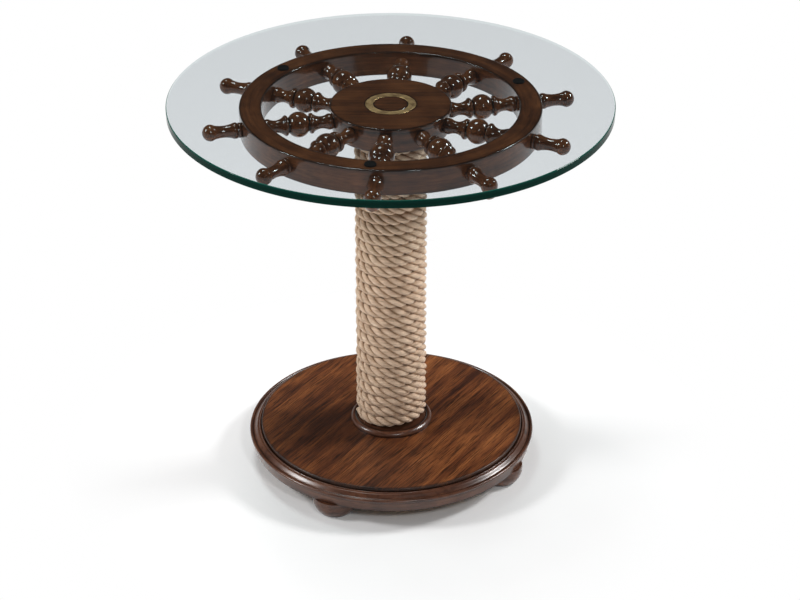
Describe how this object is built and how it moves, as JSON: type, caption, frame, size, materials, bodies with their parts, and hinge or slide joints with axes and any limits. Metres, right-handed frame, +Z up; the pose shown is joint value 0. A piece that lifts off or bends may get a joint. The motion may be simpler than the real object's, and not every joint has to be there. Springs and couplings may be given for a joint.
{
  "type": "round accent table",
  "caption": "Round glass-topped accent table: a ship's-wheel under the glass on a rope-wound column, with a round moulded wood base on bun feet.",
  "frame": {"origin": "floor level, on the axis of the column", "axes": "+Z up along the column; +X along the first spoke of the wheel"},
  "size_m": [0.6603, 0.6604, 0.6096],
  "materials": {
    "clear_glass": "clear polished glass, green at the edge",
    "black_rubber": "matte black",
    "wheel_wood": "dark brown stain under glossy lacquer",
    "turned_base_wood": "dark brown stain under glossy lacquer",
    "panel_veneer": "red-brown stained open-grain veneer, satin",
    "bare_wood": "unfinished wood",
    "brushed_brass": "brushed, antique",
    "jute_rope": "three-strand natural jute",
    "zinc_steel": "zinc plated",
    "glide_plastic": "moulded nylon"
  },
  "bodies": {
    "table_frame": {"base_collar": "turned_base_wood", "base_core": "bare_wood", "base_moulding": "turned_base_wood", "base_panel": "panel_veneer", "bottom_nut": "zinc_steel", "bottom_washer": "zinc_steel", "brass_ring": "brushed_brass", "bun_foot_1": "turned_base_wood", "bun_foot_2": "turned_base_wood", "bun_foot_3": "turned_base_wood", "bun_foot_4": "turned_base_wood", "column_post": "bare_wood", "foot_bolts": "zinc_steel", "foot_glides": "glide_plastic", "glass_bumper_1": "black_rubber", "glass_bumper_2": "black_rubber", "glass_bumper_3": "black_rubber", "handle_1": "wheel_wood", "handle_2": "wheel_wood", "handle_3": "wheel_wood", "handle_4": "wheel_wood", "handle_5": "wheel_wood", "handle_6": "wheel_wood", "handle_7": "wheel_wood", "handle_8": "wheel_wood", "handle_9": "wheel_wood", "handle_10": "wheel_wood", "hub_body": "wheel_wood", "hub_cap": "wheel_wood", "hub_plug": "wheel_wood", "rim_felloe_1": "wheel_wood", "rim_felloe_2": "wheel_wood", "rim_felloe_3": "wheel_wood", "rim_felloe_4": "wheel_wood", "rim_felloe_5": "wheel_wood", "rim_joint_dowels": "bare_wood", "rope_winding": "jute_rope", "spoke_1": "wheel_wood", "spoke_2": "wheel_wood", "spoke_3": "wheel_wood", "spoke_4": "wheel_wood", "spoke_5": "wheel_wood", "spoke_6": "wheel_wood", "spoke_7": "wheel_wood", "spoke_8": "wheel_wood", "spoke_9": "wheel_wood", "spoke_10": "wheel_wood", "tie_rod": "zinc_steel", "top_nut": "zinc_steel", "top_washer": "zinc_steel"},
    "glass": {"glass_top": "clear_glass"}
  },
  "joints": [
    {"name": "glass_lift", "type": "slide", "parent": "table_frame", "child": "glass", "axis": [0, 0, 1], "range_m": [0, 0.15]}
  ]
}
